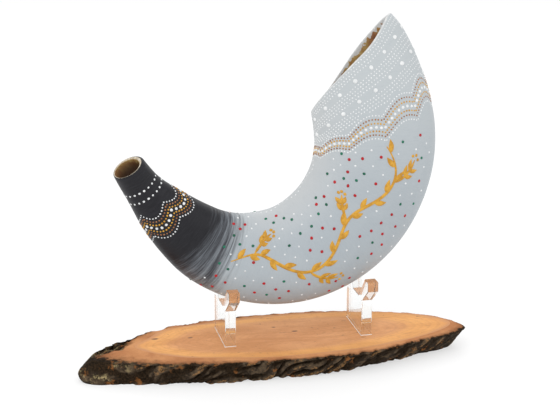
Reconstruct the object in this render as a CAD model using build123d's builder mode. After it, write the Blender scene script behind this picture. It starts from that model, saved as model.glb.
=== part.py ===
from build123d import *
import math
import os

# A curved ram's-horn shofar resting on two clear acrylic cradles, which stand on
# an oblique slice of a log with its bark left on.
# Millimetres. +X runs along the slab to the right, +Y away from the viewer, +Z up.
# The origin is on the underside of the slab, at the middle of the whole object.

# ---- driving dimensions: the horn -------------------------------------------
# Seen from the front, its centre line is three arcs, one after another: the mouth
# leg, the crook and the bell leg, each as (length, radius).
HORN_BENDS = [(70, 190), (175, 73), (69, 160)]
HORN_LENGTH = sum(length for length, radius in HORN_BENDS)
MOUTH_X = -94.0
MOUTH_Z = 140.5
MOUTH_HEADING = -61.0           # degrees above level, where the centre line sets out

# Seen from above, it comes forward at the mouth and goes back at the bell.
MOUTH_FORWARD = 19.0
BELL_BACK = 24.0
LEVEL_AT = 115.0                # distance along the horn where it is at Y = 0
DRIFT_POWER = 1.8

# Half width across the curve: it grows along a sine, and is waisted behind the mouth.
MOUTH_HALF_WIDTH = 10.5
BELL_HALF_WIDTH = 40.0
FULL_WIDTH_AT = 225.0
WIDTH_POWER = 1.1
NECK_WAIST = 1.4
NECK_AT = 20.0
NECK_LENGTH = 14.0

# (distance along the horn, half width of the bore): a cupped mouth, a narrow
# drilled throat, then the horn's own widening cavity.
BORE_HALF_WIDTH = [
    (0, 9.0),
    (6, 7.2),
    (12, 5.0),
    (20, 4.3),
    (50, 6.5),
    (90, 16),
    (135, 27),
    (180, 34),
    (230, 36),
    (280, 35),
    (314, 31),
]

HORN_SECTIONS = 25
BORE_SECTIONS = 33
BELL_FLATNESS = 0.62            # depth over width of the horn's section at the bell
MOUTH_ROUNDNESS = 0.30          # added to that at the mouth, for the horn's outside
BORE_ROUNDNESS = 0.36           # added to that at the mouth, for the bore
ROUNDNESS_LENGTH = 80.0         # distance over which the section flattens

# The bell is sawn off on a twisted surface: (X, Z at the near Y, Z at the far Y).
BELL_CUT = [(15, 157, 122), (30, 172, 147), (50, 192, 174), (66, 209, 196), (84, 238, 217)]
BELL_CUT_NEAR_Y = 0.0
BELL_CUT_FAR_Y = 40.0
BELL_CUT_REACH = (-20.0, 60.0)  # the waste runs past the horn, from this Y to this Y
BELL_CUT_TOP = 290.0            # and up to this Z

# ---- driving dimensions: the slab -------------------------------------------
SLAB_THICKNESS = 15.0
SLAB_SHIFT = (-7.5, 0.8)        # the log was sliced aslant, so the underside is moved over,
SLAB_TURN = 2.3                 # turned by this many degrees
SLAB_NARROWING = 0.9            # and narrower than the top face

# Outlines of the top face, anticlockwise from the left tip.
BARK_OUTLINE = [
    (-120, -10), (-96, -25), (-50, -38), (0, -43), (50, -42), (100, -27),
    (129, -11), (110, 17), (60, 37), (0, 43), (-60, 36), (-102, 14),
]
WOOD_OUTLINE = [
    (-90, -1), (-67, -21), (-40, -29), (0, -36), (54, -33), (99, -20),
    (121, -3), (106, 16), (66, 31), (10, 36), (-59, 29), (-80, 14),
]

# ---- driving dimensions: the cradles ----------------------------------------
CRADLE_THICKNESS = 7.0
CRADLE_LEFT_X = -33.9           # left face of the left cradle
CRADLE_RIGHT_X = 56.6           # left face of the right cradle
GLUE_THICKNESS = 0.3
GLUE_SQUEEZE_OUT = 0.4          # how far the glue film shows round a cradle's foot

# Side view, (Y, height above the foot), clockwise from the front of the foot.
CRADLE_FRONT_Y = -12.5
CRADLE_BACK_Y = 24.0
LIP_FRONT_Y = -26.0
LIP_TOP = 40.8
PRONG_TOP = 48.2
CRADLE_PROFILE = [
    (CRADLE_FRONT_Y, 0.0),
    (CRADLE_FRONT_Y, 24.0),
    (LIP_FRONT_Y, 34.5),
    (LIP_FRONT_Y, LIP_TOP),
    (-18.2, LIP_TOP),
    (-5.0, 25.3),
    (8.8, 25.3),
    (20.1, PRONG_TOP),
    (CRADLE_BACK_Y, PRONG_TOP),
    (CRADLE_BACK_Y, 0.0),
]
NECK_RADIUS = 6.0               # where the front leans out into the lip
LIP_RADIUS = 3.4                # round the top of the lip
NOTCH_RADIUS = 4.0              # in the two corners of the notch
PRONG_RADIUS = 1.6              # on the tip of the rear prong


def centre_of_horn(distance):
    """The point on the horn's centre line this far from the blowing end."""
    distance = min(max(distance, 0), HORN_LENGTH)
    if distance < LEVEL_AT:
        drift = -MOUTH_FORWARD * (1 - distance / LEVEL_AT) ** DRIFT_POWER
    else:
        drift = BELL_BACK * ((distance - LEVEL_AT) / (HORN_LENGTH - LEVEL_AT)) ** DRIFT_POWER
    x = MOUTH_X
    z = MOUTH_Z
    heading = math.radians(MOUTH_HEADING)
    for length, radius in HORN_BENDS:
        turned = heading + min(max(distance, 0), length) / radius
        x += radius * (math.sin(turned) - math.sin(heading))
        z -= radius * (math.cos(turned) - math.cos(heading))
        heading = turned
        distance -= length
    return Vector(x, drift, z)


def half_width(distance):
    """Half the horn's width across its curve."""
    grown = math.sin(math.pi / 2 * (distance / FULL_WIDTH_AT) ** WIDTH_POWER)
    waist = NECK_WAIST * math.exp(-(((distance - NECK_AT) / NECK_LENGTH) ** 2))
    return MOUTH_HALF_WIDTH + (BELL_HALF_WIDTH - MOUTH_HALF_WIDTH) * grown - waist


def horn_section(distance, half, roundness):
    """An ellipse square to the centre line, flattened front to back."""
    step = 0.5
    ahead = centre_of_horn(distance + step)
    behind = centre_of_horn(distance - step)
    tangent = (ahead - behind).normalized()
    across = Vector(0, 1, 0) - tangent * tangent.Y
    flatness = BELL_FLATNESS + roundness * math.exp(-distance / ROUNDNESS_LENGTH)
    plane = Plane(origin=centre_of_horn(distance), x_dir=across, z_dir=tangent)
    with BuildSketch(plane) as section:
        Ellipse(half * flatness, half)
    return section.sketch


# ---- waste removed beyond the bell's rim ------------------------------------
with BuildPart() as bell_waste:
    for cut_y in BELL_CUT_REACH:
        share = (cut_y - BELL_CUT_NEAR_Y) / (BELL_CUT_FAR_Y - BELL_CUT_NEAR_Y)
        cut_line = [(x, near + (far - near) * share) for x, near, far in BELL_CUT]
        with BuildSketch(Plane.XZ.offset(-cut_y)):
            with BuildLine():
                Spline(*cut_line)
                Polyline(
                    cut_line[-1],
                    (cut_line[-1][0], BELL_CUT_TOP),
                    (cut_line[0][0], BELL_CUT_TOP),
                    cut_line[0],
                )
            make_face()
    loft(ruled=True)

# ---- horn -------------------------------------------------------------------
bore_sections = []
bore_line = Spline(*BORE_HALF_WIDTH)
for index in range(BORE_SECTIONS):
    distance, half, _ = bore_line @ (index / (BORE_SECTIONS - 1))
    bore_sections.append(horn_section(distance, half, BORE_ROUNDNESS))

outer_sections = []
for index in range(HORN_SECTIONS):
    distance = HORN_LENGTH * index / (HORN_SECTIONS - 1)
    outer_sections.append(horn_section(distance, half_width(distance), MOUTH_ROUNDNESS))

with BuildPart() as bore:
    loft(bore_sections)

with BuildPart() as horn:
    loft(outer_sections)
    add(bell_waste.part, mode=Mode.SUBTRACT)
    add(bore.part, mode=Mode.SUBTRACT)

# ---- slab: the wood inside the bark, and the bark round it ------------------
def underside(outline):
    """The same outline where the slanting slice reaches the underside."""
    turn = math.radians(SLAB_TURN)
    return [
        (
            x * math.cos(turn) - y * SLAB_NARROWING * math.sin(turn) + SLAB_SHIFT[0],
            x * math.sin(turn) + y * SLAB_NARROWING * math.cos(turn) + SLAB_SHIFT[1],
        )
        for x, y in outline
    ]


def slab_sections(outline):
    """The faces that the slice has on its underside and on its top."""
    sections = []
    for height, points in ((0, underside(outline)), (SLAB_THICKNESS, outline)):
        with BuildSketch(Plane.XY.offset(height)) as section:
            with BuildLine():
                Spline(*points, periodic=True)
            make_face()
        sections.append(section.sketch)
    return sections


with BuildPart() as slab_wood:
    loft(slab_sections(WOOD_OUTLINE), ruled=True)

with BuildPart() as slab_bark:
    loft(slab_sections(BARK_OUTLINE), ruled=True)
    add(slab_wood.part, mode=Mode.SUBTRACT)


# ---- cradles, each stuck down by a film of clear glue -----------------------
def corners_at(sketch, positions):
    """The sketch's corners that stand at the given (Y, height) positions."""
    return [
        corner
        for corner in sketch.vertices()
        if any(abs(corner.Y - y) < 0.01 and abs(corner.Z - z) < 0.01 for y, z in positions)
    ]


cradles = {}
glue_films = {}
for side, left_face in (("left", CRADLE_LEFT_X), ("right", CRADLE_RIGHT_X)):
    foot = SLAB_THICKNESS + GLUE_THICKNESS
    outline = [(y, foot + height) for y, height in CRADLE_PROFILE]
    with BuildPart() as cradles[side]:
        with BuildSketch(Plane.YZ.offset(left_face)) as profile:
            with BuildLine():
                Polyline(*outline, close=True)
            make_face()
            for radius, chosen in (
                (NECK_RADIUS, outline[1:2]),
                (LIP_RADIUS, outline[2:5]),
                (NOTCH_RADIUS, outline[5:7]),
                (PRONG_RADIUS, outline[7:9]),
            ):
                fillet(corners_at(profile.sketch, chosen), radius)
        extrude(amount=CRADLE_THICKNESS)

    middle = (left_face + CRADLE_THICKNESS / 2, (CRADLE_FRONT_Y + CRADLE_BACK_Y) / 2)
    with BuildPart() as glue_films[side]:
        with BuildSketch(Plane.XY.offset(SLAB_THICKNESS)):
            with Locations(middle):
                Rectangle(
                    CRADLE_THICKNESS + 2 * GLUE_SQUEEZE_OUT,
                    CRADLE_BACK_Y - CRADLE_FRONT_Y + 2 * GLUE_SQUEEZE_OUT,
                )
        extrude(amount=GLUE_THICKNESS)

# ---- one STEP file for each finished piece ----------------------------------
os.makedirs("parts", exist_ok=True)

horn.part.label = "horn"
export_step(horn.part, "parts/horn.step")

slab_wood.part.label = "slab_wood"
export_step(slab_wood.part, "parts/slab_wood.step")

slab_bark.part.label = "slab_bark"
export_step(slab_bark.part, "parts/slab_bark.step")

for side in ("left", "right"):
    cradles[side].part.label = f"{side}_cradle"
    export_step(cradles[side].part, f"parts/{side}_cradle.step")

    glue_films[side].part.label = f"{side}_glue_film"
    export_step(glue_films[side].part, f"parts/{side}_glue_film.step")
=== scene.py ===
import math
import random

import bmesh
import bpy
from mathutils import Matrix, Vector, noise


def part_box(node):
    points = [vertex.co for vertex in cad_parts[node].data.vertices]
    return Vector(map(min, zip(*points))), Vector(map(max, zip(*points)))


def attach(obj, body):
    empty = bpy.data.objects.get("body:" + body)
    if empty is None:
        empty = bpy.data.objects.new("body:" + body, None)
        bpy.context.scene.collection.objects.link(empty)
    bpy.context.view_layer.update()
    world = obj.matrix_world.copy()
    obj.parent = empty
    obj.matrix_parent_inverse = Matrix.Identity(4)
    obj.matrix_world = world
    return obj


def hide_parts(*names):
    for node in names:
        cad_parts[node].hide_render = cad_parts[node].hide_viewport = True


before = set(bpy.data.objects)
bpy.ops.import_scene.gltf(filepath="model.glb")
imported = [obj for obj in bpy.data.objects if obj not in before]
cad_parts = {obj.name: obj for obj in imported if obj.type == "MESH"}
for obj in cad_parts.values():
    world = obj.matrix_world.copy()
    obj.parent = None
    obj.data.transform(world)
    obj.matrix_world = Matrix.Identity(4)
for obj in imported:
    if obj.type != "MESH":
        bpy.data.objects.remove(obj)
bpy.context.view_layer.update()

# A painted ram's-horn shofar on two clear acrylic cradles and a slice of log.
# Sizes are in millimetres, and become metres where a mesh is made.
MM = 0.001
chance = random.Random(7)

# ---- driving dimensions shared with the CAD: the horn ------------------------
HORN_BENDS = [(70, 190), (175, 73), (69, 160)]      # (length, radius)
HORN_LENGTH = sum(length for length, radius in HORN_BENDS)
MOUTH_X = -94.0
MOUTH_Z = 140.5
MOUTH_HEADING = -61.0
MOUTH_FORWARD = 19.0
BELL_BACK = 24.0
LEVEL_AT = 115.0
DRIFT_POWER = 1.8
MOUTH_HALF_WIDTH = 10.5
BELL_HALF_WIDTH = 40.0
FULL_WIDTH_AT = 225.0
WIDTH_POWER = 1.1
NECK_WAIST = 1.4
NECK_AT = 20.0
NECK_LENGTH = 14.0
BELL_FLATNESS = 0.62
MOUTH_ROUNDNESS = 0.30
BORE_ROUNDNESS = 0.36
ROUNDNESS_LENGTH = 80.0

# What the CAD leaves plain: the bell's tip turned in and worn, and the carved mouth.
TIP_TURNS_IN = 6.5              # how far the bell's outer edge turns in by the horn's very end
TIP_TURNS_IN_AT = 288.0         # distance along the horn where it begins to
TIP_WEAR = 1.2                  # how much of the bell's sharp tip is worn away
TIP_WEAR_NEAR = 18.0            # over how many degrees round, on the viewer's side
TIP_WEAR_FAR = 30.0             # and on the far side
MOUTH_OPENING = 8.3             # half width of the blowing hole
MOUTH_OFFSET = 1.3              # it sits nearer to the outside of the curve
MOUTH_BLEND = 9.0               # and runs into the bore over this distance

# (distance along the horn, half width of the bore)
BORE_HALF_WIDTH = [
    (0, 9.0),
    (6, 7.2),
    (12, 5.0),
    (20, 4.3),
    (50, 6.5),
    (90, 16),
    (135, 27),
    (180, 34),
    (230, 36),
    (280, 35),
    (314, 31),
]

# The sawn bell: (X, Z at the near Y, Z at the far Y)
BELL_CUT = [(15, 157, 122), (30, 172, 147), (50, 192, 174), (66, 209, 196), (84, 238, 217)]
BELL_CUT_NEAR_Y = 0.0
BELL_CUT_FAR_Y = 40.0

# ---- driving dimensions shared with the CAD: the slab ------------------------
SLAB_THICKNESS = 15.0
SLAB_SHIFT = (-7.5, 0.8)
SLAB_TURN = 2.3
SLAB_NARROWING = 0.9
BARK_OUTLINE = [
    (-120, -10), (-96, -25), (-50, -38), (0, -43), (50, -42), (100, -27),
    (129, -11), (110, 17), (60, 37), (0, 43), (-60, 36), (-102, 14),
]
WOOD_OUTLINE = [
    (-90, -1), (-67, -21), (-40, -29), (0, -36), (54, -33), (99, -20),
    (121, -3), (106, 16), (66, 31), (10, 36), (-59, 29), (-80, 14),
]

# ---- the painting: a plain design of borders, a running vine and dots --------
DARK_END = 76.0                 # where the charcoal gives way to blue
FIRST_BORDER_AT = DARK_END / 2  # distance along the horn, half way along the charcoal
BELL_BORDER_BELOW_RIM = 44.0    # the second border follows the rim this far below it
BORDER_GAP = 2.5                # between the rows of a border
BORDER_ROWS = 3                 # rows on each side of a border's middle row
BORDER_REACH = (BORDER_ROWS + 0.8) * BORDER_GAP     # kept clear on each side of it
SCALLOP_DEPTH = 5.0
FIRST_SCALLOPS = 5              # scallops round the horn in each border
BELL_SCALLOPS = 10
NECK_RINGS = (14.0, 20.0)       # distances along the horn of two plain rings of dots
BELL_ROWS = 16                  # rows of small dots below the rim
LARGE_ROW_EVERY = 5             # but one in this many is of large dots
VINE_START = DARK_END + 14
VINE_END = 232.0
VINE_BENDS = 4
VINE_LEAVES = 18
VINE_SWING = 8.0                # how far the vine swings to each side, in mm round the horn
SCATTER_REACH = 38.0            # single dots reach this far to each side, in mm round the horn
SCATTER_COUNT = 190             # tries on each side of the horn
GOLDEN_SHARE = 0.618            # steps of this share of a width fill it evenly
EDGE_DOTS = 26                  # single dots along each edge of the horn


# ---- the horn's shape --------------------------------------------------------
def ramped(value, start, reach):
    """0 until the value passes the start, then evenly up to 1 over the reach."""
    return min(max((value - start) / reach, 0), 1)


def smooth_value(points, x):
    """A smooth curve through (x, value) points, read at x and straight beyond them."""
    last = len(points) - 1
    slopes = []
    for index in range(last + 1):
        x0, v0 = points[max(index - 1, 0)]
        x1, v1 = points[min(index + 1, last)]
        slopes.append((v1 - v0) / (x1 - x0))
    if x <= points[0][0]:
        return points[0][1] + slopes[0] * (x - points[0][0])
    if x >= points[last][0]:
        return points[last][1] + slopes[last] * (x - points[last][0])
    index = max(k for k in range(last) if x >= points[k][0])
    x0, v0 = points[index]
    x1, v1 = points[index + 1]
    span = x1 - x0
    u = (x - x0) / span
    return (
        (2 * u**3 - 3 * u**2 + 1) * v0
        + (u**3 - 2 * u**2 + u) * span * slopes[index]
        + (3 * u**2 - 2 * u**3) * v1
        + (u**3 - u**2) * span * slopes[index + 1]
    )


def centre_of_horn(distance):
    """The point on the horn's centre line this far from the blowing end."""
    distance = min(max(distance, 0), HORN_LENGTH)
    if distance < LEVEL_AT:
        drift = -MOUTH_FORWARD * (1 - distance / LEVEL_AT) ** DRIFT_POWER
    else:
        drift = BELL_BACK * ((distance - LEVEL_AT) / (HORN_LENGTH - LEVEL_AT)) ** DRIFT_POWER
    x = MOUTH_X
    z = MOUTH_Z
    heading = math.radians(MOUTH_HEADING)
    for length, radius in HORN_BENDS:
        turned = heading + min(max(distance, 0), length) / radius
        x += radius * (math.sin(turned) - math.sin(heading))
        z -= radius * (math.cos(turned) - math.cos(heading))
        heading = turned
        distance -= length
    return Vector((x, drift, z))


def half_width(distance):
    """Half the horn's width across its curve."""
    grown = math.sin(math.pi / 2 * (distance / FULL_WIDTH_AT) ** WIDTH_POWER)
    waist = NECK_WAIST * math.exp(-(((distance - NECK_AT) / NECK_LENGTH) ** 2))
    return MOUTH_HALF_WIDTH + (BELL_HALF_WIDTH - MOUTH_HALF_WIDTH) * grown - waist


def bore_half_width(distance):
    return smooth_value(BORE_HALF_WIDTH, distance)


def section_of_horn(distance):
    """Centre, direction out of the curve, direction away from the viewer, and tangent."""
    ahead = centre_of_horn(distance + 0.5)
    behind = centre_of_horn(distance - 0.5)
    tangent = (ahead - behind).normalized()
    away = (Vector((0, 1, 0)) - tangent * tangent.y).normalized()
    return centre_of_horn(distance), away.cross(tangent), away, tangent


def horn_point(distance, round_deg, bore=False):
    """A point on the horn's wall: 0 degrees round is its underside, 90 faces the viewer."""
    centre, outward, away, _ = section_of_horn(distance)
    half = bore_half_width(distance) if bore else half_width(distance)
    if bore and distance < MOUTH_BLEND:
        share = (1 - distance / MOUTH_BLEND) ** 2
        half += (MOUTH_OPENING - bore_half_width(0)) * share
        centre += outward * (MOUTH_OFFSET * share)
    roundness = BORE_ROUNDNESS if bore else MOUTH_ROUNDNESS
    depth = half * (BELL_FLATNESS + roundness * math.exp(-distance / ROUNDNESS_LENGTH))
    angle = math.radians(round_deg)
    near_tip = ramped(distance, TIP_TURNS_IN_AT, HORN_LENGTH - TIP_TURNS_IN_AT)
    turned_in = TIP_TURNS_IN * near_tip**2 * max(math.cos(angle), 0)
    out = half * math.cos(angle) - turned_in
    return centre + outward * out - away * (depth * math.sin(angle))


def horn_frame(distance, round_deg):
    """Point on the outside, its normal, and the directions along and round the horn."""
    step = 0.4
    here = horn_point(distance, round_deg)
    along = horn_point(distance + step, round_deg) - horn_point(distance - step, round_deg)
    around = horn_point(distance, round_deg + step) - horn_point(distance, round_deg - step)
    normal = around.cross(along).normalized()
    if normal.dot(here - centre_of_horn(distance)) < 0:
        normal.negate()
    return here, normal, along.normalized(), around.normalized()


def mm_per_degree(distance, round_deg):
    """How many millimetres a degree round the horn is worth, here."""
    return (horn_point(distance, round_deg + 1) - horn_point(distance, round_deg - 1)).length / 2


def cut_height(x, y):
    """Height of the surface that the bell is sawn off on."""
    share = (y - BELL_CUT_NEAR_Y) / (BELL_CUT_FAR_Y - BELL_CUT_NEAR_Y)
    return smooth_value([(cx, near + (far - near) * share) for cx, near, far in BELL_CUT], x)


def rim_distance(round_deg, bore=False):
    """How far along the horn its wall meets the bell's cut."""
    low, high = FULL_WIDTH_AT * 0.8, HORN_LENGTH
    for _ in range(26):
        middle = (low + high) / 2
        point = horn_point(middle, round_deg, bore)
        if point.z > cut_height(point.x, point.y):
            high = middle
        else:
            low = middle
    return (low + high) / 2


def worn_rim(bore):
    """The rim's distance at each degree round, its tip at 0 degrees worn blunt."""
    distances = []
    for degrees in range(360):
        from_tip = degrees if degrees < 180 else degrees - 360
        spread = TIP_WEAR_NEAR if from_tip > 0 else TIP_WEAR_FAR
        wear = TIP_WEAR * math.exp(-((from_tip / spread) ** 2))
        distances.append(rim_distance(degrees, bore) - wear)
    return distances


RIM = worn_rim(bore=False)
BORE_RIM = worn_rim(bore=True)


def rim_at(round_deg, rim=RIM):
    """A rim's distance, read between whole degrees."""
    low = math.floor(round_deg)
    share = round_deg - low
    return rim[low % 360] * (1 - share) + rim[(low + 1) % 360] * share


# ---- making meshes -----------------------------------------------------------
def placed(name, data):
    """A new object in the scene."""
    piece = bpy.data.objects.new(name, data)
    bpy.context.scene.collection.objects.link(piece)
    return piece


def new_mesh(name, points, faces, *materials):
    """A smooth object from points in millimetres."""
    mesh = bpy.data.meshes.new(name)
    mesh.from_pydata([tuple(point * MM) for point in points], [], faces)
    mesh.validate()
    mesh.polygons.foreach_set("use_smooth", [True] * len(mesh.polygons))
    mesh.update()
    for material in materials:
        mesh.materials.append(material)
    return placed(name, mesh)


def grid_faces(rows, columns, closed=True, looped=False, start=0):
    """Quads over a grid of points: rows are joined round if closed, last to first if looped."""
    faces = []
    for row in range(rows if looped else rows - 1):
        here = start + row * columns
        below = start + (row + 1) % rows * columns
        for column in range(columns if closed else columns - 1):
            after = (column + 1) % columns
            faces.append((here + column, here + after, below + after, below + column))
    return faces


def face_outwards(piece):
    """Turns every face of a closed mesh to look outwards."""
    edited = bmesh.new()
    edited.from_mesh(piece.data)
    bmesh.ops.recalc_face_normals(edited, faces=edited.faces)
    edited.to_mesh(piece.data)
    edited.free()


def set_value(piece, name, values):
    """One number for each point, for the material to read."""
    piece.data.attributes.new(name, "FLOAT", "POINT").data.foreach_set("value", values)


def set_vector(piece, name, vectors):
    """One vector for each point, for the material to read."""
    flat = [number for vector in vectors for number in vector]
    piece.data.attributes.new(name, "FLOAT_VECTOR", "POINT").data.foreach_set("vector", flat)


# ---- materials ---------------------------------------------------------------
class Nodes:
    """A material's nodes, made one line at a time."""

    def __init__(self, name):
        self.material = bpy.data.materials.new(name)
        self.material.use_nodes = True
        self.tree = self.material.node_tree
        self.shader = self.tree.nodes["Principled BSDF"]

    def make(self, kind, settings=None, **inputs):
        node = self.tree.nodes.new(kind)
        for key, value in (settings or {}).items():
            setattr(node, key, value)
        for key, value in inputs.items():
            self.feed(node.inputs[key.replace("_", " ")], value)
        return node

    def feed(self, socket, value):
        if isinstance(value, bpy.types.NodeSocket):
            self.tree.links.new(value, socket)
        else:
            socket.default_value = value

    def attribute(self, name, output="Fac"):
        return self.make("ShaderNodeAttribute", {"attribute_name": name}).outputs[output]

    def place(self):
        return self.make("ShaderNodeTexCoord").outputs["Object"]

    def stretched(self, vector, scale):
        """A vector with each axis scaled, for streaky noise."""
        node = self.make("ShaderNodeVectorMath", {"operation": "MULTIPLY"})
        self.feed(node.inputs[0], vector)
        node.inputs[1].default_value = scale
        return node.outputs[0]

    def noise(self, vector, scale, detail=4.0, roughness=0.6, distortion=0.0):
        node = self.make(
            "ShaderNodeTexNoise", None,
            Vector=vector, Scale=scale, Detail=detail, Roughness=roughness, Distortion=distortion,
        )
        return node.outputs["Fac"]

    def streaks(self, vector, scale, *settings):
        """Noise that is finer along some axes than others."""
        return self.noise(self.stretched(vector, scale), 1.0, *settings)

    def ramp(self, value, *stops):
        """Colours or greys along a value: (place, (r, g, b))."""
        node = self.make("ShaderNodeValToRGB", None, Fac=value)
        elements = node.color_ramp.elements
        while len(elements) < len(stops):
            elements.new(0.5)
        for element, (place, colour) in zip(elements, stops):
            element.position = place
            element.color = (*colour, 1)
        return node.outputs["Color"]

    def mix(self, share, first, second):
        """The first colour at share 0, the second at share 1."""
        node = self.make("ShaderNodeMix", {"data_type": "RGBA"})
        self.feed(node.inputs[0], share)
        for socket, colour in ((node.inputs[6], first), (node.inputs[7], second)):
            self.feed(socket, colour if isinstance(colour, bpy.types.NodeSocket) else (*colour, 1))
        return node.outputs[2]

    def maths(self, operation, first, second=0.0):
        node = self.make("ShaderNodeMath", {"operation": operation})
        self.feed(node.inputs[0], first)
        self.feed(node.inputs[1], second)
        return node.outputs[0]

    def times(self, first, second):
        return self.maths("MULTIPLY", first, second)

    def plus(self, first, second):
        return self.maths("ADD", first, second)

    def between(self, value, low, high):
        """0 below low, 1 above high, smooth in between."""
        node = self.make("ShaderNodeMapRange", {"interpolation_type": "SMOOTHSTEP"}, Value=value)
        node.inputs["From Min"].default_value = low
        node.inputs["From Max"].default_value = high
        return node.outputs["Result"]

    def shift(self, value, wander, reach):
        """The value moved up or down by a noise, by half the reach at most."""
        moved = self.times(self.maths("SUBTRACT", wander, 0.5), reach)
        return self.plus(value, moved)

    def tint(self, colour, value, limits, other, most=1.0):
        """The colour turning into another, at most this far, as a value goes between limits."""
        share = self.between(value, *limits)
        if most < 1:
            share = self.times(share, most)
        return self.mix(share, colour, other)

    def tints(self, colour, *steps):
        """One tint over another, each as (value, limits, other) or (value, limits, other, most)."""
        for step in steps:
            colour = self.tint(colour, *step)
        return colour

    def bump(self, height, strength, distance_mm):
        node = self.make("ShaderNodeBump", None, Height=height, Strength=strength)
        node.inputs["Distance"].default_value = distance_mm * MM
        self.tree.links.new(node.outputs["Normal"], self.shader.inputs["Normal"])

    def surface(self, **inputs):
        for key, value in inputs.items():
            socket = self.shader.inputs[key.replace("_", " ")]
            if isinstance(value, tuple) and len(value) == 3:
                value = (*value, 1)
            self.feed(socket, value)
        return self.material


def horn_paint():
    """Charcoal at the mouth, brushed into blue-grey, and paler at the bell; paler again along the
    inner edge of the curve, which faces up, as a painted highlight.
    """
    nodes = Nodes("horn_paint")
    stroke = nodes.attribute("stroke", "Vector")
    along = nodes.attribute("along")
    inner_edge = nodes.attribute("inner_edge")
    streak = nodes.noise(nodes.stretched(stroke, (1.0, 0.055, 0.055)), 0.50, 6, 0.72)
    fine = nodes.noise(nodes.stretched(stroke, (1.0, 0.07, 0.07)), 2.4, 5, 0.6)
    patch = nodes.noise(stroke, 0.035, 3, 0.5, 0.6)

    blue = nodes.tint((0.362, 0.400, 0.428), along, (190, 285), (0.450, 0.482, 0.497))
    # Paler along the upward-facing inner edge of the curve: a painted highlight.
    blue = nodes.mix(nodes.times(inner_edge, 0.70), blue, (0.540, 0.550, 0.552))
    blue = nodes.tints(
        blue,
        (patch, (0.42, 0.68), (0.425, 0.458, 0.478), 0.30),
        (fine, (0.52, 0.72), (0.475, 0.502, 0.518), 0.24),
        (fine, (0.46, 0.30), (0.275, 0.318, 0.355), 0.24),
    )
    grey = nodes.tint((0.040, 0.042, 0.050), streak, (0.35, 0.7), (0.135, 0.150, 0.170))
    dark = nodes.tint((0.006, 0.006, 0.009), fine, (0.35, 0.75), (0.014, 0.014, 0.018))
    brushed = nodes.shift(along, streak, 34.0)
    colour = nodes.tint(dark, brushed, (DARK_END - 14, DARK_END + 4), grey)
    colour = nodes.tint(colour, brushed, (DARK_END, DARK_END + 22), blue)
    nodes.bump(nodes.plus(nodes.times(fine, 0.6), streak), 0.35, 0.22)
    return nodes.surface(
        Base_Color=colour,
        Roughness=0.45,
        Specular_IOR_Level=0.26,
    )


def rim_paint():
    """The sawn face of the bell, under pale paint."""
    nodes = Nodes("rim_paint")
    place = nodes.attribute("stroke", "Vector")
    speck = nodes.noise(place, 0.35, 4, 0.6)
    white = nodes.tint((0.52, 0.535, 0.54), speck, (0.4, 0.7), (0.68, 0.685, 0.68))
    nodes.bump(speck, 0.3, 0.25)
    return nodes.surface(Base_Color=white, Roughness=0.48)


def horn_inside():
    """Bare horn inside the bell, golden to reddish brown and darkened by painted shade deeper into
    the bore, with pale paint run over its edge.
    """
    nodes = Nodes("horn_inside")
    stroke = nodes.attribute("stroke", "Vector")
    depth = nodes.attribute("depth")
    grain = nodes.noise(nodes.stretched(stroke, (0.10, 1.0, 1.0)), 0.5, 6, 0.65)
    cloud = nodes.noise(stroke, 0.075, 4, 0.6, 0.8)
    blend = nodes.times(cloud, 0.7)
    colour = nodes.ramp(
        nodes.plus(blend, nodes.times(grain, 0.3)),
        (0.36, (0.16, 0.050, 0.016)),
        (0.45, (0.30, 0.130, 0.045)),
        (0.53, (0.38, 0.235, 0.070)),
        (0.64, (0.56, 0.420, 0.190)),
    )
    # Darker further from the openings, deep in the bore: painted shade.
    colour = nodes.tint(colour, depth, (8, 70), (0.05, 0.024, 0.010))
    drip = nodes.noise(stroke, 0.22, 2, 0.5)
    colour = nodes.tint((0.58, 0.590, 0.585), nodes.shift(depth, drip, 11.0), (1.9, 2.5), colour)
    nodes.bump(nodes.plus(grain, cloud), 0.6, 0.5)
    return nodes.surface(Base_Color=colour, Roughness=0.5)


def mouth_edge():
    """The worn, bone-coloured edge round the blowing hole."""
    nodes = Nodes("mouth_edge")
    place = nodes.attribute("stroke", "Vector")
    wear = nodes.noise(place, 0.5, 4, 0.6)
    colour = nodes.ramp(
        wear,
        (0.34, (0.30, 0.24, 0.17)),
        (0.52, (0.52, 0.45, 0.34)),
        (0.68, (0.66, 0.60, 0.49)),
    )
    nodes.bump(wear, 0.3, 0.15)
    return nodes.surface(Base_Color=colour, Roughness=0.35)


def dot_paint(name, light, deep):
    """Thick paint standing up in dots and lines, a little uneven in colour."""
    nodes = Nodes(name)
    place = nodes.place()
    uneven = nodes.noise(place, 260.0, 3, 0.6)
    grain = nodes.noise(place, 2600.0, 2, 0.5)
    colour = nodes.tint(deep, uneven, (0.36, 0.64), light)
    nodes.bump(grain, 0.25, 0.05)
    return nodes.surface(Base_Color=colour, Roughness=0.42, Specular_IOR_Level=0.3)


# ---- the horn itself ---------------------------------------------------------
ROUND_STEPS = 216
OUTSIDE_ROWS = 200
BORE_ROWS = 110
LIP_STEPS = 8
BONE_STEPS = 4                  # of those steps round the mouth, how many are bare bone
MOUTH_LIP = 1.1                 # how far the mouth's edge is rounded over
MOUTH_SHADE_DEPTH = 26.0              # the bore at the mouth takes the colour and painted shade of this depth below the rim
RIM_LIP = 0.9                   # how far the bell's edge is rounded over
UNEVENNESS = 0.35               # slow dents left by scraping the horn


def dent(distance, round_deg):
    """A slow unevenness of the horn's outside."""
    angle = math.radians(round_deg)
    place = Vector((distance * 0.035, math.cos(angle) * 1.1, math.sin(angle) * 1.1))
    return noise.noise(place) * UNEVENNESS * min(distance / 40, 1)


def outside_point(distance, round_deg):
    """A point on the finished outside, unevenness included."""
    here, normal, _, _ = horn_frame(distance, round_deg)
    return here + normal * dent(distance, round_deg)


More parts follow.
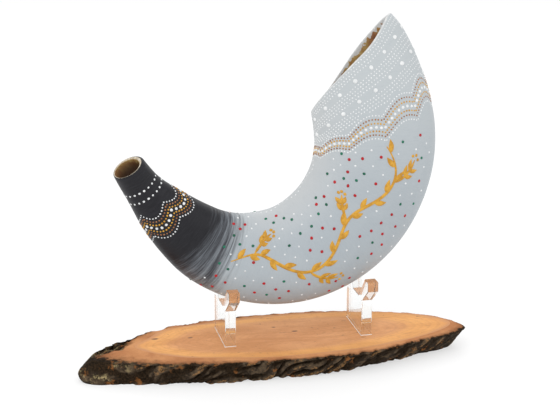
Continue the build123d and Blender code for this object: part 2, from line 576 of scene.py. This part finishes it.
def horn_skin():
    """Outside, bell's sawn face, bore and mouth as one closed skin."""
    angles = [360 * step / ROUND_STEPS for step in range(ROUND_STEPS)]
    rim_out = [rim_at(angle) for angle in angles]
    rim_in = [rim_at(angle, BORE_RIM) for angle in angles]
    points, along, depth, zone = [], [], [], []

    nothing = [0.0] * ROUND_STEPS

    def row(zone_name, made, distances=nothing, depths=nothing):
        points.extend(made)
        along.extend(distances)
        depth.extend(depths)
        zone.append(zone_name)

    for index in range(OUTSIDE_ROWS):
        share = index / (OUTSIDE_ROWS - 1)
        distances = [MOUTH_LIP + (rim - RIM_LIP - MOUTH_LIP) * share for rim in rim_out]
        made = [outside_point(d, a) for d, a in zip(distances, angles)]
        row("outside", made, distances)

    outer_edge = points[-ROUND_STEPS:]
    corner = [outside_point(rim, angle) for rim, angle in zip(rim_out, angles)]
    inner_corner = [horn_point(rim, angle, bore=True) for rim, angle in zip(rim_in, angles)]
    inner_edge = [horn_point(rim - RIM_LIP, a, bore=True) for rim, a in zip(rim_in, angles)]
    for index in range(1, LIP_STEPS + 1):
        share = index / (LIP_STEPS + 1)
        swell = math.sin(math.pi * share)
        made = []
        for start, first, second, end in zip(outer_edge, corner, inner_corner, inner_edge):
            flat = first.lerp(second, share)
            sunk = start.lerp(end, share)
            made.append(sunk.lerp(flat, swell ** 0.35))
        row("rim", made, rim_out)

    for index in range(BORE_ROWS):
        share = index / (BORE_ROWS - 1)
        distances = [MOUTH_LIP + (rim - RIM_LIP - MOUTH_LIP) * (1 - share) for rim in rim_in]
        made = [horn_point(d, a, bore=True) for d, a in zip(distances, angles)]
        # How deep each point lies from the nearest opening, which sets the bore's painted shade.
        deep = [min(rim - d, MOUTH_SHADE_DEPTH + 6.0 * d) for rim, d in zip(rim_in, distances)]
        row("inside", made, distances, deep)

    bore_edge = points[-ROUND_STEPS:]
    mouth_edge_outer = points[:ROUND_STEPS]
    _, _, _, tangent = section_of_horn(0)
    for index in range(1, LIP_STEPS + 1):
        share = index / (LIP_STEPS + 1)
        swell = math.sin(math.pi * share) ** 0.6
        made = []
        for start, end in zip(bore_edge, mouth_edge_outer):
            made.append(start.lerp(end, share) - tangent * (MOUTH_LIP * swell))
        row("mouth" if index <= BONE_STEPS else "outside", made)
    return angles, points, along, depth, zone


def build_horn():
    """The horn's painted skin, standing in for the CAD horn."""
    angles, points, along, depth, zone = horn_skin()
    rows = len(points) // ROUND_STEPS
    zones = ["outside", "rim", "inside", "mouth"]
    materials = [horn_paint(), rim_paint(), horn_inside(), mouth_edge()]
    faces = grid_faces(rows, ROUND_STEPS, looped=True)
    piece = new_mesh("horn_skin", points, faces, *materials)
    numbers = []
    for here, following in zip(zone, zone[1:] + zone[:1]):
        chosen = following if here == "outside" else here
        numbers.extend([zones.index(chosen)] * ROUND_STEPS)
    piece.data.polygons.foreach_set("material_index", numbers)

    strokes, inner = [], []
    for index, distance in enumerate(along):
        angle = math.radians(angles[index % ROUND_STEPS])
        reach = half_width(distance)
        strokes.append((distance, reach * math.cos(angle), reach * math.sin(angle)))
        # Share of painted highlight on the upward-facing inner edge of the curve, none near the
        # mouth.
        inner.append(max(0.0, -math.cos(angle)) ** 3 * ramped(distance, 60, 60))
    set_vector(piece, "stroke", strokes)
    set_value(piece, "along", along)
    set_value(piece, "inner_edge", inner)
    set_value(piece, "depth", depth)
    face_outwards(piece)
    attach(piece, "horn")
    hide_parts("horn")


# ---- raised paint ------------------------------------------------------------
class Paint:
    """Dots and lines of one colour of thick paint, gathered into one mesh."""

    SIDES = 10
    THICKEST = 1.3
    SUNK = 0.08                 # how far the paint's foot goes into the horn
    DOME = ((1.0, 0.0), (0.86, 0.30), (0.55, 0.48))     # (width, height) of a dot's rings
    DOME_TOP = 0.55             # height of its middle
    STRIP = ((-1.0, 0.0), (-0.72, 0.38), (0.0, 0.55), (0.72, 0.38), (1.0, 0.0))

    def __init__(self, name, slot, material):
        self.name = name
        self.slot = slot
        self.material = material
        self.points = []
        self.faces = []
        self.places = []

    def dot(self, distance, round_deg, radius):
        """A low dome of paint, a little out of round."""
        here, normal, along, around = horn_frame(distance, round_deg)
        here = here + normal * (dent(distance, round_deg) - self.SUNK)
        self.places.append(here)
        turn = chance.uniform(0, 2 * math.pi)
        stretch = chance.uniform(0.90, 1.10)
        start = len(self.points)
        for width, height in self.DOME:
            for side in range(self.SIDES):
                angle = turn + 2 * math.pi * side / self.SIDES
                sideways = along * (math.cos(angle) * stretch)
                sideways += around * (math.sin(angle) / stretch)
                self.points.append(here + (sideways * width + normal * height) * radius)
        self.points.append(here + normal * (self.DOME_TOP * radius))
        top = start + len(self.DOME) * self.SIDES
        self.faces.extend(grid_faces(len(self.DOME), self.SIDES, start=start))
        for side in range(self.SIDES):
            after = (side + 1) % self.SIDES
            self.faces.append((top - self.SIDES + side, top - self.SIDES + after, top))

    def ribbon(self, path, half_widths):
        """A raised strip of paint through (distance, degrees round) places."""
        start = len(self.points)
        for index, (distance, round_deg) in enumerate(path):
            here, normal, _, _ = horn_frame(distance, round_deg)
            self.places.append(here)
            before = horn_point(*path[max(index - 1, 0)])
            after = horn_point(*path[min(index + 1, len(path) - 1)])
            ahead = (after - before).normalized()
            sideways = normal.cross(ahead).normalized()
            half = half_widths[index] * (1 + 0.10 * noise.noise(here * 0.35))
            thickness = min(half, self.THICKEST)
            here = here + normal * (dent(distance, round_deg) - self.SUNK)
            for aside, height in self.STRIP:
                self.points.append(here + sideways * (aside * half) + normal * (height * thickness))
        self.faces.extend(grid_faces(len(path), len(self.STRIP), closed=False, start=start))

    def line(self, path, width):
        """A line of even width with thin ends."""
        halves = []
        for index in range(len(path)):
            from_end = min(index, len(path) - 1 - index) / (len(path) * 0.18)
            halves.append(width / 2 * (0.35 + 0.65 * min(from_end, 1)))
        self.ribbon(path, halves)

    def leaf(self, path, width):
        """A leaf, widest before the middle and pointed at both ends."""
        last = len(path) - 1
        bulges = [math.sin(math.pi * (index / last) ** 0.8) for index in range(last + 1)]
        self.ribbon(path, [width / 2 * bulge + 0.05 for bulge in bulges])

    def build(self):
        piece = new_mesh(self.name, self.points, self.faces, self.material)
        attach(piece, "horn")


def scallop(round_deg, count):
    """Even arches round the horn, this many of them."""
    return SCALLOP_DEPTH * (abs(math.cos(math.radians(round_deg * count / 2))) - 0.5)


def first_border(round_deg):
    """Distance along of the middle row of the border on the charcoal."""
    return FIRST_BORDER_AT + scallop(round_deg, FIRST_SCALLOPS)


def second_border(round_deg):
    """Distance along of the middle row of the border below the bell."""
    return rim_at(round_deg) - BELL_BORDER_BELOW_RIM + scallop(round_deg, BELL_SCALLOPS)


def dotted_ring(paint, border, offset, spacing, radius, phase=0.0, jitter=0.0, floor=None):
    """Evenly spaced dots round the horn beside a border line, and none below the floor line."""
    step = 0.5
    turns = [step * index for index in range(round(360 / step) + 1)]
    places = [horn_point(border(turn) + offset, turn) for turn in turns]
    lengths = [(after - before).length for before, after in zip(places, places[1:])]
    even_spacing = sum(lengths) / round(sum(lengths) / spacing)
    carried = phase * even_spacing
    for round_deg, length in zip(turns[1:], lengths):
        carried += length
        if carried >= even_spacing - 0.001:
            carried -= even_spacing
            moved = border(round_deg) + offset + chance.uniform(-jitter, jitter)
            if floor is None or moved > floor(round_deg):
                paint.dot(moved, round_deg, radius * chance.uniform(0.9, 1.1))


def paint_border(border, white, copper, gold):
    """Rows at even gaps, the same on both sides of a middle row of large white dots."""
    dotted_ring(white, border, 0.0, 3.4, 1.0)
    for side in (-1, 1):
        dotted_ring(gold, border, side * BORDER_GAP, 2.0, 0.62)
        dotted_ring(copper, border, side * 2 * BORDER_GAP, 2.0, 0.58, phase=0.5)
        dotted_ring(white, border, side * 3 * BORDER_GAP, 2.0, 0.55)


def vine_place(share, side):
    """Where the vine is, this share of the way along it, on this side of the horn."""
    distance = VINE_START + (VINE_END - VINE_START) * share
    swing = VINE_SWING * math.sin(math.pi * VINE_BENDS * share)
    return distance, side + swing / mm_per_degree(distance, side)


def shoot(place, heading, length, turn, steps=26):
    """A steadily bending path from a place, and the heading it ends on."""
    path = [place]
    distance, round_deg = place
    for _ in range(steps):
        heading += turn / steps
        distance += length / steps * math.cos(heading)
        round_deg += length / steps * math.sin(heading) / mm_per_degree(distance, round_deg)
        path.append((distance, round_deg))
    return path, heading


def berries(paint, tip, heading, radius):
    """Three dots round a shoot's tip."""
    scale = mm_per_degree(*tip)
    for aside in (-1.1, 0.0, 1.1):
        reach = 2.4 * radius
        distance = tip[0] + reach * math.cos(heading + aside)
        round_deg = tip[1] + reach * math.sin(heading + aside) / scale
        paint.dot(distance, round_deg, radius)


def vine_heading(share, side):
    """Which way the vine runs at this share of its length."""
    before = vine_place(share - 0.005, side)
    after = vine_place(share + 0.005, side)
    sideways = (after[1] - before[1]) * mm_per_degree(*after)
    return math.atan2(sideways, after[0] - before[0])


def paint_vine(gold, side):
    """A running vine: leaves on alternate sides, and a shoot with leaves and berries at bends."""
    stem_steps = 220
    gold.line([vine_place(step / stem_steps, side) for step in range(stem_steps + 1)], 2.2)
    for index in range(VINE_LEAVES):
        share = (index + 0.5) / VINE_LEAVES
        way = 1 if index % 2 == 0 else -1
        heading = vine_heading(share, side) + 0.80 * way
        path, _ = shoot(vine_place(share, side), heading, 8.5, -0.45 * way, steps=12)
        gold.leaf(path, 3.6)
    for bend in range(VINE_BENDS):
        way = 1 if bend % 2 == 0 else -1
        start = vine_place((bend + 0.42) / VINE_BENDS, side)
        path, ending = shoot(start, 1.15 * way, 19.0, -0.75 * way)
        gold.line(path, 1.9)
        berries(gold, path[-1], ending, 1.05)
        for index in (11, 17):
            for aside in (-0.9, 0.9):
                leaf, _ = shoot(path[index], 0.75 * way + aside, 6.5, -0.5 * aside, steps=10)
                gold.leaf(leaf, 2.9)


def is_clear(distance, round_deg, paint, gap):
    """Whether a place on the horn is at least this far from all of a paint's dots and lines."""
    here = horn_point(distance, round_deg)
    return all((here - place).length > gap for place in paint.places)


def scatter(paints, gold, side):
    """Single dots of mixed colours, spread beside the vine and clear of it and the border."""
    for index in range(SCATTER_COUNT):
        share = (index + 0.5) / SCATTER_COUNT
        distance = VINE_START - 10 + (VINE_END - VINE_START + 16) * share
        swing = SCATTER_REACH * (2 * (index * GOLDEN_SHARE % 1) - 1) + chance.uniform(-2, 2)
        round_deg = side + swing / mm_per_degree(distance, side)
        paint, radius = chance.choice(paints)
        is_below_border = distance < second_border(round_deg) - BORDER_REACH
        if is_below_border and is_clear(distance, round_deg, gold, 2.8):
            paint.dot(distance, round_deg, radius)


def bell_floor(round_deg):
    """The distance along the horn where the bell's rows of dots stop."""
    return second_border(round_deg) + BORDER_REACH


def paint_bell(white):
    """Staggered rows of small white dots from the rim down, with rows of large ones between."""
    below = 2.2
    for row in range(BELL_ROWS):
        is_large = row % LARGE_ROW_EVERY == 3
        below += 0.9 if is_large else 0.0
        spacing, radius = (13.0, 1.45) if is_large else (2.2, 0.47)
        dotted_ring(white, rim_at, -below, spacing, radius, 0.5 * (row % 2), 0.25, bell_floor)
        below += 3.2 if is_large else 2.2


def straight_border(round_deg):
    """A border line that runs straight round the horn."""
    return 0.0


PAINTS = {                      # a colour of raised paint: where it is lighter, where deeper
    "white": ((0.76, 0.77, 0.77), (0.66, 0.675, 0.68)),
    "gold": ((0.62, 0.33, 0.036), (0.46, 0.22, 0.018)),
    "copper": ((0.36, 0.155, 0.060), (0.24, 0.095, 0.035)),
    "red": ((0.46, 0.008, 0.012), (0.34, 0.005, 0.008)),
    "green": ((0.010, 0.15, 0.085), (0.006, 0.09, 0.05)),
}


def paint_horn():
    """All the raised paint on the horn, one piece for each colour."""
    paints = []
    for colour, (light, deep) in PAINTS.items():
        name = "gold_vine" if colour == "gold" else f"{colour}_dots"
        material = dot_paint(f"{colour}_dot_paint", light, deep)
        paints.append(Paint(name, f"{colour}_paint", material))
    white, gold, copper, red, green = paints

    for distance in NECK_RINGS:
        dotted_ring(white, straight_border, distance, 3.4, 0.75)
    paint_border(first_border, white, copper, gold)
    paint_border(second_border, white, copper, gold)
    paint_bell(white)

    for side in (90, 270):
        paint_vine(gold, side)
        scatter([(red, 1.05), (white, 0.72), (green, 0.98), (white, 0.62)], gold, side)
    for edge in (180, 0):
        for index in range(EDGE_DOTS):
            white.dot(VINE_START + 5.6 * index, edge + 6 * math.sin(index * 0.9), 0.6)

    for paint in paints:
        paint.build()


# ---- the slab ----------------------------------------------------------------
def outline_point(outline, turn):
    """A point on the smooth closed curve through an outline, turn from 0 to 1."""
    count = len(outline)
    place = (turn % 1) * count
    index = int(place) % count
    u = place - int(place)
    p0, p1, p2, p3 = (outline[(index + k) % count] for k in (-1, 0, 1, 2))
    result = []
    for a, b, c, d in zip(p0, p1, p2, p3):
        result.append(0.5 * (
            2 * b + (c - a) * u + (2 * a - 5 * b + 4 * c - d) * u**2
            + (3 * b - a - 3 * c + d) * u**3
        ))
    return result[0], result[1]


def slab_point(outline, turn, height, reach=1.0):
    """A point of the slab's edge at a height, drawn in towards the middle by reach."""
    x, y = outline_point(outline, turn)
    x, y = x * reach, y * reach
    angle = math.radians(SLAB_TURN)
    lower_x = x * math.cos(angle) - y * SLAB_NARROWING * math.sin(angle) + SLAB_SHIFT[0]
    lower_y = x * math.sin(angle) + y * SLAB_NARROWING * math.cos(angle) + SLAB_SHIFT[1]
    share = height / SLAB_THICKNESS
    return Vector((lower_x + (x - lower_x) * share, lower_y + (y - lower_y) * share, height))


def wood_material():
    """Sawn and oiled wood: rings that follow the outline, darker heart, pale sapwood."""
    nodes = Nodes("slab_wood")
    ring = nodes.attribute("ring")
    place = nodes.place()
    wander = nodes.noise(place, 14.0, 3, 0.5)
    moved = nodes.shift(ring, wander, 0.14)
    bands = nodes.maths("SINE", nodes.times(moved, 118.0))
    broad = nodes.streaks(place, (22.0, 60.0, 60.0), 4, 0.6, 0.5)
    pores = nodes.streaks(place, (330.0, 1900.0, 1900.0), 4, 0.7)
    mottle = nodes.streaks(place, (170.0, 430.0, 430.0), 3, 0.65)
    fleck = nodes.streaks(place, (260.0, 420.0, 420.0), 2, 0.4)
    saw = nodes.streaks(place, (900.0, 60.0, 60.0), 2, 0.5)
    edge = nodes.shift(ring, broad, 0.16)

    heart = nodes.tint((0.578, 0.243, 0.080), broad, (0.36, 0.66), (0.706, 0.330, 0.132))
    sap = nodes.tint((0.70, 0.315, 0.088), broad, (0.36, 0.66), (0.80, 0.385, 0.116))
    colour = nodes.tints(
        heart,
        (moved, (0.70, 0.84), sap),
        (bands, (0.1, 1.0), (0.36, 0.140, 0.046), 0.13),
        (pores, (0.56, 0.74), (0.30, 0.115, 0.040), 0.40),
        (mottle, (0.52, 0.70), (0.44, 0.175, 0.062), 0.30),
        (fleck, (0.70, 0.76), (0.20, 0.085, 0.036), 0.60),
        (pores, (0.44, 0.28), (0.82, 0.44, 0.18), 0.24),
        (saw, (0.55, 0.75), (0.30, 0.15, 0.07), 0.10),
        (nodes.attribute("knot"), (0.22, 0.75), (0.16, 0.070, 0.030)),
        (edge, (0.93, 1.01), (0.54, 0.243, 0.103)),
    )
    nodes.bump(nodes.plus(pores, nodes.times(saw, 0.5)), 0.35, 0.18)
    return nodes.surface(Base_Color=colour, Roughness=0.56, Specular_IOR_Level=0.22)


# (X, Y, size) of the knots in the top face.
KNOTS = [(-76, 12, 2.6), (-53, 9, 1.8), (16, 5, 2.2), (4, 15, 1.4), (43, 5, 1.0), (45, -9, 1.0)]


def build_wood():
    """The wood inside the bark, with its growth rings told to the material."""
    around, rings, edge_rows = 300, 90, 10
    points, ring_values, knot_values = [], [], []
    for index in range(rings + 1):
        reach = max(index / rings, 0.002)
        for step in range(around):
            point = slab_point(WOOD_OUTLINE, step / around, SLAB_THICKNESS, reach)
            grain = noise.noise(Vector((point.x * 0.05, point.y * 0.9, 0))) * 0.06
            point.z += grain * (1 if index < rings else 0)
            points.append(point)
            ring_values.append(reach)
            knot_values.append(max(
                math.exp(-((point.x - x) ** 2 + ((point.y - y) * 1.8) ** 2) / size**2)
                for x, y, size in KNOTS
            ))
    for index in range(1, edge_rows + 1):
        for step in range(around):
            height = SLAB_THICKNESS * (1 - index / edge_rows)
            points.append(slab_point(WOOD_OUTLINE, step / around, height))
            ring_values.append(1.0)
            knot_values.append(0.0)
    rows = rings + 1 + edge_rows
    faces = grid_faces(rows, around)
    faces.append(tuple(range(around)))
    faces.append(tuple(reversed(range((rows - 1) * around, rows * around))))
    piece = new_mesh("slab_wood_top", points, faces, wood_material())
    set_value(piece, "ring", ring_values)
    set_value(piece, "knot", knot_values)
    piece.data.set_sharp_from_angle(angle=math.radians(45))
    face_outwards(piece)
    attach(piece, "stand")
    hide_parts("slab_wood")


def bark_material():
    """Inner bark on the sawn faces, furrowed dark bark with lichen round the side, with painted
    shade in its furrows and a painted highlight on its crests.
    """
    nodes = Nodes("slab_bark")
    place = nodes.place()
    outer = nodes.attribute("outer")
    ridge = nodes.attribute("ridge")
    mottle = nodes.noise(place, 190.0, 5, 0.65)
    fine = nodes.noise(place, 900.0, 4, 0.65)
    cloud = nodes.noise(place, 42.0, 3, 0.55)
    chips = nodes.noise(place, 105.0, 3, 0.7)
    crust = nodes.noise(place, 260.0, 5, 0.7)
    ragged = nodes.shift(outer, mottle, 0.75)

    inner = nodes.tints(
        (0.45, 0.190, 0.080),
        (cloud, (0.36, 0.64), (0.60, 0.285, 0.123)),
        (fine, (0.50, 0.72), (0.24, 0.095, 0.045), 0.30),
        (ragged, (0.30, 0.80), (0.22, 0.085, 0.034), 0.65),
    )
    # Near black deep in the furrows, lighter up the ridges: painted shade.
    dark = nodes.tint((0.009, 0.006, 0.003), fine, (0.35, 0.7), (0.038, 0.022, 0.011))
    slate = nodes.tint((0.026, 0.018, 0.012), mottle, (0.42, 0.62), (0.098, 0.068, 0.042))
    side = nodes.tint(dark, ridge, (0.34, 0.66), slate)
    # Ochre on the highest ridge crests: a painted highlight.
    crest_highlight = nodes.times(nodes.between(ridge, 0.80, 0.93), nodes.between(fine, 0.40, 0.60))
    side = nodes.mix(nodes.times(crest_highlight, 0.62), side, (0.36, 0.185, 0.066))
    side = nodes.tint(side, chips, (0.59, 0.68), (0.26, 0.100, 0.028), 0.70)
    lichen = nodes.times(nodes.attribute("lichen"), nodes.between(crust, 0.50, 0.60))
    lichen = nodes.times(lichen, nodes.between(ridge, 0.45, 0.8))
    side = nodes.mix(nodes.times(lichen, 0.85), side, (0.47, 0.37, 0.18))
    colour = nodes.tint(inner, ragged, (0.68, 0.84), side)
    rough = nodes.plus(mottle, nodes.times(fine, 0.5))
    nodes.bump(nodes.times(rough, nodes.between(ragged, 0.4, 0.9)), 1.0, 1.2)
    return nodes.surface(Base_Color=colour, Roughness=0.82, Specular_IOR_Level=0.08)


BARK_LEAN = math.radians(35)    # how steeply the bark's ridges climb
CRACK_DEPTH = 4.6
TIP_BULGE = 4.2                 # how far the bark swells out on the slab's left tip


def bark_relief(place, height):
    """The bark's thickness, from 0 in a crack to 1 on a ridge; its ridges climb to the right."""
    level = place.x + 0.9 * place.y
    along = level * math.cos(BARK_LEAN) + height * math.sin(BARK_LEAN)
    across = height * math.cos(BARK_LEAN) - level * math.sin(BARK_LEAN)
    warp = noise.noise(place * 0.05) * 0.8
    folds = abs(noise.noise(Vector((along * 0.040, across * 0.125 + warp, 2.0))))
    small = abs(noise.noise(Vector((along * 0.13, across * 0.33 + warp, 7.0))))
    plates = noise.noise(place * 0.36) + 0.5 * noise.noise(place * 0.9)
    return min(max(1.75 * min(folds, 0.4) + 0.75 * min(small, 0.4) + 0.16 * plates, 0), 1)


def bare_patch(point):
    """1 on the stretch of the left end's far side where the bark shows on top."""
    near = (point.x + 105) / 17
    off = (point.y - 9) / 12 - 0.55 * near
    return min(max(1.5 - math.hypot(near, off) * 1.25, 0), 1)


def depth_share(point):
    """How deep the cracks are here: full along the sides, shallow at the slab's two tips."""
    return 1 - 0.80 * ramped(abs(point.x + 3), 96, 18)


def bark_thickness(turn):
    """How far the wood is from the outside of the bark, at this turn round the slab."""
    outside = slab_point(BARK_OUTLINE, turn, SLAB_THICKNESS)
    nearby = [turn + step / 400 for step in range(-24, 25)]
    return min((slab_point(WOOD_OUTLINE, near, SLAB_THICKNESS) - outside).length for near in nearby)


def bark_top(turn, share, spare):
    """The sawn face, from the wood out to the bark's edge: point, how far out, and relief."""
    inside = slab_point(WOOD_OUTLINE, turn, SLAB_THICKNESS)
    outside = slab_point(BARK_OUTLINE, turn, SLAB_THICKNESS)
    relief = bark_relief(outside, SLAB_THICKNESS)
    carved = min(CRACK_DEPTH * (1 - relief) * depth_share(outside), spare)
    outside -= (outside - inside).normalized() * carved * 0.8
    point = inside.lerp(outside, share)
    rough = noise.noise(point * 0.8) * 0.20 + noise.noise(point * 0.22) * 0.35
    point.z += (rough - 0.35) * min(share * 3, 1) - 1.1 * share**6
    bare = bare_patch(point) * min(share * 4, 1)
    point.z -= bare * (1.0 + 3.2 * (1 - bark_relief(point * 1.6, 0)))
    return point, max(share * 0.95, bare * 1.3), relief


def bark_side(turn, share, spare):
    """The furrowed side, from the top edge down: point, how far out, and relief."""
    height = SLAB_THICKNESS * (1 - share)
    outside = slab_point(BARK_OUTLINE, turn, height)
    inwards = Vector((-outside.x * 0.25, -outside.y, 0)).normalized()
    relief = bark_relief(outside, height)
    tuck = 1.6 * share**5 + 0.5 * (1 - share) ** 6
    cut = (CRACK_DEPTH * (1 - relief) + tuck) * depth_share(outside)
    point = outside + inwards * min(cut, spare)
    point.x -= TIP_BULGE * ramped(-outside.x, 104, 16) * math.sin(math.pi * share**1.3)
    point.z = max(point.z - 0.5 * (1 - share), 0.0)
    return point, 1.3, relief


def build_bark():
    """The bark, furrowed on its side and ragged where the saw left it."""
    around, top_rows, side_rows, under_rows = 900, 14, 22, 3
    turns = [step / around for step in range(around)]
    spare = [bark_thickness(turn) * 0.9 - 0.6 for turn in turns]
    places = []
    for index in range(top_rows + 1):
        places.extend(bark_top(turn, index / top_rows, room) for turn, room in zip(turns, spare))
    for index in range(1, side_rows + 1):
        places.extend(bark_side(turn, index / side_rows, room) for turn, room in zip(turns, spare))
    foot = [point for point, _, _ in places[-around:]]
    for index in range(1, under_rows + 1):
        for turn, outside in zip(turns, foot):
            inside = slab_point(WOOD_OUTLINE, turn, 0)
            places.append((outside.lerp(inside, index / under_rows), 0.7, 0.4))

    points, outer, ridges = zip(*places)
    lichens = [max(ramped(-point.x, 92, 18), ramped(point.x, 112, 10) * 0.35) for point in points]
    rows = len(points) // around
    faces = grid_faces(rows, around, looped=True)
    piece = new_mesh("slab_bark_ring", points, faces, bark_material())
    set_value(piece, "outer", outer)
    set_value(piece, "ridge", ridges)
    set_value(piece, "lichen", lichens)
    piece.data.set_sharp_from_angle(angle=math.radians(75))
    face_outwards(piece)
    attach(piece, "stand")
    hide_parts("slab_bark")


# ---- the cradles -------------------------------------------------------------
CRADLE_FRONT_Y = -12.5          # front and back of a cradle's foot
CRADLE_BACK_Y = 24.0
CLEAR_SHARE = 0.04              # share of any ray that goes straight through clear plastic
FOOT_SUNK = 0.3                 # clear plastic shows the wood under it only if they touch
GLUE_CLEARNESS = 0.55           # the rest is scattered by its pale colour, so the bead shows as a whitish line at the foot: a painted highlight
# The bead's section: (share of the film's squeezed-out width, height above the wood).
GLUE_PROFILE = ((0.0, -0.05), (0.95, -0.05), (0.6, 0.16), (0.12, 0.42), (0.0, 0.55))


def clear_material(name, roughness, tint, clearness=1.0):
    """Clear plastic, a little uneven where it was cut, that lets light through to what it covers."""
    nodes = Nodes(name)
    place = nodes.place()
    wave = nodes.noise(place, 120.0, 2, 0.5)
    nodes.bump(wave, 0.25, 0.08)
    material = nodes.surface(
        Base_Color=tint,
        Roughness=roughness,
        IOR=1.49,
        Transmission_Weight=clearness,
    )
    path = nodes.make("ShaderNodeLightPath")
    passing = nodes.maths(
        "MAXIMUM", path.outputs["Is Shadow Ray"], path.outputs["Is Diffuse Ray"])
    passing = nodes.maths("MAXIMUM", passing, CLEAR_SHARE)
    open_air = nodes.make("ShaderNodeBsdfTransparent", None, Color=(*tint, 1))
    mixed = nodes.make("ShaderNodeMixShader")
    nodes.feed(mixed.inputs[0], passing)
    nodes.feed(mixed.inputs[1], nodes.shader.outputs["BSDF"])
    nodes.feed(mixed.inputs[2], open_air.outputs["BSDF"])
    nodes.feed(nodes.tree.nodes["Material Output"].inputs["Surface"], mixed.outputs["Shader"])
    return material


def foot_outline():
    """Places round a unit square, close together along its two long sides."""
    corners = ((0, 0), (1, 0), (1, 1), (0, 1))
    outline = []
    for (right, back), (next_right, next_back) in zip(corners, corners[1:] + corners[:1]):
        steps = 16 if right != next_right else 60
        for step in range(steps):
            share = step / steps
            outline.append((right + (next_right - right) * share, back + (next_back - back) * share))
    return outline


def build_glue(side, glue):
    """The bead of glue squeezed out round a cradle's foot, in place of the plain film."""
    low, high = (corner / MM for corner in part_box(f"{side}_glue_film"))
    foot_low, foot_high = (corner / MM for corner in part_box(f"{side}_cradle"))
    outline = foot_outline()
    points = []
    for reach, height in GLUE_PROFILE:
        for across, along in outline:
            swell = 1 + 0.35 * noise.noise(Vector((across * 3, along * 9, foot_low.x)))
            spread = 0.06 + reach * swell
            x = foot_low.x + (foot_high.x - foot_low.x) * across
            y = CRADLE_FRONT_Y + (CRADLE_BACK_Y - CRADLE_FRONT_Y) * along
            if across in (0, 1):
                x += (high.x - foot_high.x if across else low.x - foot_low.x) * spread
            if along in (0, 1):
                y += (high.y - CRADLE_BACK_Y if along else low.y - CRADLE_FRONT_Y) * spread
            points.append(Vector((x, y, SLAB_THICKNESS + height)))
    faces = grid_faces(len(GLUE_PROFILE), len(outline), looped=True)
    piece = new_mesh(f"{side}_glue_bead", points, faces, glue)
    face_outwards(piece)
    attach(piece, "stand")
    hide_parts(f"{side}_glue_film")


def build_cradles():
    """The two acrylic plates, with their cut edges eased so that they catch the light."""
    acrylic = clear_material("clear_acrylic", 0.03, (0.97, 0.985, 0.98))
    glue = clear_material("clear_glue", 0.12, (0.98, 0.97, 0.94), GLUE_CLEARNESS)
    for side in ("left", "right"):
        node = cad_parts[f"{side}_cradle"]
        shape = bmesh.new()
        shape.from_mesh(node.data)
        bmesh.ops.remove_doubles(shape, verts=shape.verts, dist=0.01 * MM)
        bmesh.ops.dissolve_limit(
            shape, angle_limit=math.radians(1), verts=shape.verts, edges=shape.edges)
        for corner in shape.verts:
            if corner.co.z < (SLAB_THICKNESS + 1) * MM:
                corner.co.z = (SLAB_THICKNESS - FOOT_SUNK) * MM
        sharp = [edge for edge in shape.edges if edge.calc_face_angle(0) > math.radians(40)]
        bmesh.ops.bevel(
            shape, geom=sharp, offset=0.35 * MM, segments=2, profile=0.5, affect="EDGES")
        mesh = bpy.data.meshes.new(f"{side}_cradle_eased")
        shape.to_mesh(mesh)
        shape.free()
        mesh.polygons.foreach_set("use_smooth", [True] * len(mesh.polygons))
        mesh.set_sharp_from_angle(angle=math.radians(18))
        mesh.materials.clear()
        mesh.materials.append(acrylic)
        piece = placed(f"{side}_cradle_eased", mesh)
        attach(piece, "stand")
        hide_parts(f"{side}_cradle")
        build_glue(side, glue)


# ---- floor, light and camera -------------------------------------------------
CAMERA_AZIMUTH = -13.0
CAMERA_ELEVATION = 17.0
CAMERA_TARGET = Vector((5.5, 2.5, 100.0))
CAMERA_DISTANCE = 996.0
CAMERA_LENS = 100.0


def add_area(name, place, target, size, watts):
    """A soft square light aimed at a place, in millimetres."""
    light = bpy.data.lights.new(name, "AREA")
    light.size = size * MM
    light.energy = watts
    lamp = placed(name, light)
    lamp.location = place * MM
    lamp.rotation_euler = (target - place).to_track_quat("-Z", "Y").to_euler()
    return lamp


def build_stage():
    """A faintly lit white floor, as of a light table, under soft studio light."""
    reach = 6000.0
    corners = [Vector((x, y, 0)) for x, y in (
        (-reach, -reach), (reach, -reach), (reach, reach), (-reach, reach))]
    paper = Nodes("floor").surface(
        Base_Color=(0.42, 0.42, 0.42),
        Roughness=0.9,
        Specular_IOR_Level=0.2,
        Emission_Color=(1.0, 1.0, 1.0),
        Emission_Strength=0.55,
    )
    floor = new_mesh("floor", corners, [(0, 1, 2, 3)], paper)
    world = bpy.data.worlds.new("studio")
    world.use_nodes = True
    background = world.node_tree.nodes["Background"]
    background.inputs["Color"].default_value = (1, 1, 1, 1)
    background.inputs["Strength"].default_value = 1.0
    bpy.context.scene.world = world
    middle = Vector((0, 0, 90))
    key = add_area("key", Vector((-500, -700, 900)), middle, 700, 3.6)
    fill = add_area("fill", Vector((800, -500, 400)), middle, 700, 0.8)
    back = add_area("back", Vector((300, 800, 800)), middle, 700, 1.6)
    bpy.context.scene.view_settings.view_transform = "Standard"


def build_camera():
    """The photograph's view."""
    azimuth = math.radians(CAMERA_AZIMUTH)
    elevation = math.radians(CAMERA_ELEVATION)
    back = Vector((
        math.sin(azimuth) * math.cos(elevation),
        -math.cos(azimuth) * math.cos(elevation),
        math.sin(elevation),
    ))
    lens = bpy.data.cameras.new("camera")
    lens.lens = CAMERA_LENS
    lens.sensor_width = 36.0
    camera = placed("camera", lens)
    camera.location = (CAMERA_TARGET + back * CAMERA_DISTANCE) * MM
    camera.rotation_euler = (-back).to_track_quat("-Z", "Y").to_euler()
    bpy.context.scene.camera = camera


build_horn()
paint_horn()
build_wood()
build_bark()
build_cradles()
build_stage()
build_camera()
